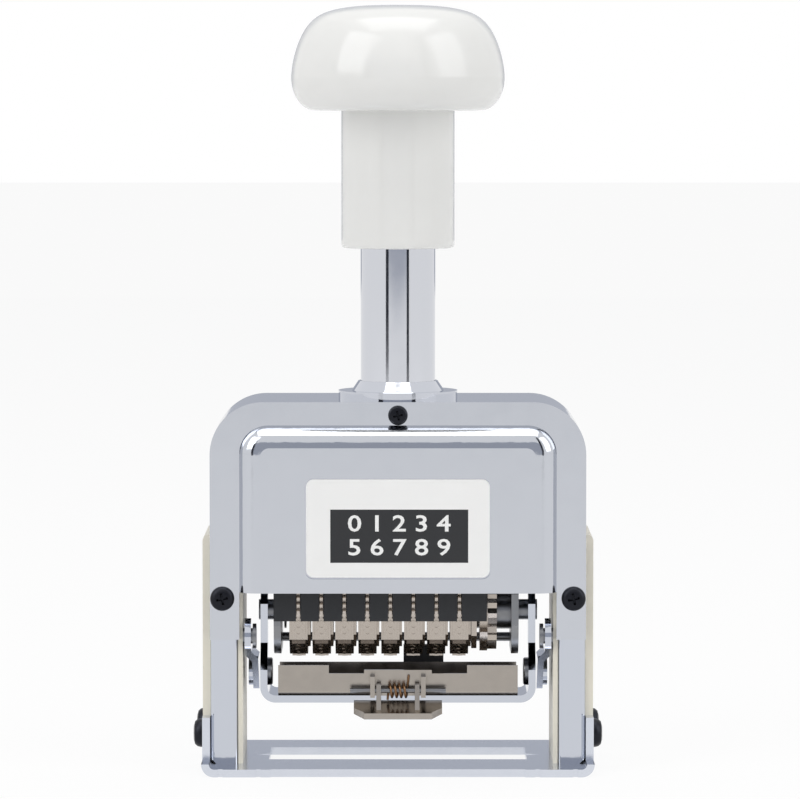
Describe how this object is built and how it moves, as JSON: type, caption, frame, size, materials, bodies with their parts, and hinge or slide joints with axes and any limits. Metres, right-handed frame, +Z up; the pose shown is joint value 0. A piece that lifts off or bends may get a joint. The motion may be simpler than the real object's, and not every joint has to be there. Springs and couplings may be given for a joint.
{
  "type": "numbering machine",
  "caption": "Hand-pressed automatic numbering machine: chromed frame on two legs, knob-topped plunger, figure wheels and a swinging ink tray.",
  "frame": {"origin": "middle of the base plate's underside", "axes": "+Z up along the plunger, -Y the front with the label, +X to the right seen from the front"},
  "size_m": [0.0796, 0.045, 0.1486],
  "materials": {
    "base_chrome": "chromed steel plate",
    "chrome": "polished chrome",
    "ivory_plastic": "ivory moulded plastic",
    "black_screws": "black oxide",
    "label": "printed plate",
    "steel": "plain steel",
    "handle_plastic": "white gloss moulded plastic",
    "black_parts": "black plastic",
    "nickel": "nickel plated",
    "bronze_wire": "bronze wire"
  },
  "bodies": {
    "frame": {"base_plate": "base_chrome", "left_leg": "chrome", "right_leg": "chrome", "left_side_cover": "ivory_plastic", "right_side_cover": "ivory_plastic", "left_inner_guide": "ivory_plastic", "right_inner_guide": "ivory_plastic", "side_screws": "black_screws", "housing": "chrome", "front_cover": "chrome", "rear_cover": "chrome", "front_cover_screws": "black_screws", "rear_cover_screws": "black_screws", "label_plate": "label", "shaft_bush": "chrome", "spring_bar": "steel", "link_pivots": "steel"},
    "plunger": {"plunger_tube": "chrome", "handle_sleeve": "handle_plastic", "handle_knob": "handle_plastic", "knob_stud": "steel", "return_spring": "steel", "head_bridge": "steel", "left_head_plate": "steel", "right_head_plate": "steel", "wheel_shaft": "steel", "tie_rods": "steel", "detent_comb": "black_parts", "detent_pawls": "nickel", "end_spacer": "steel"},
    "wheel_1": {"figure_wheel_1": "nickel"},
    "wheel_2": {"figure_wheel_2": "nickel"},
    "wheel_3": {"figure_wheel_3": "nickel"},
    "wheel_4": {"figure_wheel_4": "nickel"},
    "wheel_5": {"figure_wheel_5": "nickel"},
    "wheel_6": {"figure_wheel_6": "nickel"},
    "wheel_7": {"figure_wheel_7": "nickel"},
    "wheel_8": {"figure_wheel_8": "nickel"},
    "repeat_unit": {"repeat_ratchet": "nickel", "repeat_cam": "nickel", "repeat_dial": "nickel"},
    "rocker": {"left_rocker_arm": "steel", "right_rocker_arm": "steel", "rocker_rod": "steel", "pawl_fingers": "nickel"},
    "ink_frame": {"ink_bracket": "chrome", "ink_rivets": "steel", "ink_tray": "nickel", "tray_catch": "black_parts", "clip_bracket": "nickel", "clip_pin": "steel", "clip_spring": "bronze_wire"},
    "left_link": {"left_ink_link": "chrome"},
    "right_link": {"right_ink_link": "chrome"},
    "clip": {"clip_lever": "nickel"}
  },
  "joints": [
    {"name": "plunger_slide", "type": "slide", "parent": "frame", "child": "plunger", "axis": [0, 0, -1], "range_m": [0, 0.0213], "stiffness_N_per_m": 450, "springref_m": -0.015, "deforming": ["return_spring"]},
    {"name": "figure_wheel_1_turn", "type": "hinge", "parent": "plunger", "child": "wheel_1", "pos_m": [0, 0, 0.0302], "axis": [1, 0, 0], "continuous": true},
    {"name": "figure_wheel_2_turn", "type": "hinge", "parent": "plunger", "child": "wheel_2", "pos_m": [0, 0, 0.0302], "axis": [1, 0, 0], "continuous": true},
    {"name": "figure_wheel_3_turn", "type": "hinge", "parent": "plunger", "child": "wheel_3", "pos_m": [0, 0, 0.0302], "axis": [1, 0, 0], "continuous": true},
    {"name": "figure_wheel_4_turn", "type": "hinge", "parent": "plunger", "child": "wheel_4", "pos_m": [0, 0, 0.0302], "axis": [1, 0, 0], "continuous": true},
    {"name": "figure_wheel_5_turn", "type": "hinge", "parent": "plunger", "child": "wheel_5", "pos_m": [0, 0, 0.0302], "axis": [1, 0, 0], "continuous": true},
    {"name": "figure_wheel_6_turn", "type": "hinge", "parent": "plunger", "child": "wheel_6", "pos_m": [0, 0, 0.0302], "axis": [1, 0, 0], "continuous": true},
    {"name": "figure_wheel_7_turn", "type": "hinge", "parent": "plunger", "child": "wheel_7", "pos_m": [0, 0, 0.0302], "axis": [1, 0, 0], "continuous": true},
    {"name": "figure_wheel_8_turn", "type": "hinge", "parent": "plunger", "child": "wheel_8", "pos_m": [0, 0, 0.0302], "axis": [1, 0, 0], "continuous": true},
    {"name": "repeat_dial_turn", "type": "hinge", "parent": "plunger", "child": "repeat_unit", "pos_m": [0, 0, 0.0302], "axis": [1, 0, 0], "continuous": true},
    {"name": "rocker_swing", "type": "hinge", "parent": "plunger", "child": "rocker", "pos_m": [0, 0, 0.0302], "axis": [1, 0, 0], "range_deg": [-36, 0]},
    {"name": "ink_swing", "type": "hinge", "parent": "plunger", "child": "ink_frame", "pos_m": [0, 0, 0.0302], "axis": [1, 0, 0], "range_deg": [-105, 0]},
    {"name": "left_link_swing", "type": "hinge", "parent": "frame", "child": "left_link", "pos_m": [0, -0.0115, 0.0262], "axis": [1, 0, 0], "range_deg": [-54.5, 0]},
    {"name": "right_link_swing", "type": "hinge", "parent": "frame", "child": "right_link", "pos_m": [0, -0.0115, 0.0262], "axis": [1, 0, 0], "range_deg": [-54.5, 0]},
    {"name": "clip_press", "type": "hinge", "parent": "ink_frame", "child": "clip", "pos_m": [0, -0.0096, 0.0153], "axis": [1, 0, 0], "range_deg": [-20, 0], "stiffness_Nm_per_rad": 0.02, "springref_deg": 28.65}
  ],
  "couplings": [
    {"joint": "rocker_swing", "follows": "plunger_slide", "rad_per_m": -29.469},
    {"joint": "ink_swing", "follows": "plunger_slide", "rad_per_m": -85.951},
    {"joint": "left_link_swing", "follows": "plunger_slide", "rad_per_m": -44.613},
    {"joint": "right_link_swing", "follows": "plunger_slide", "rad_per_m": -44.613}
  ]
}
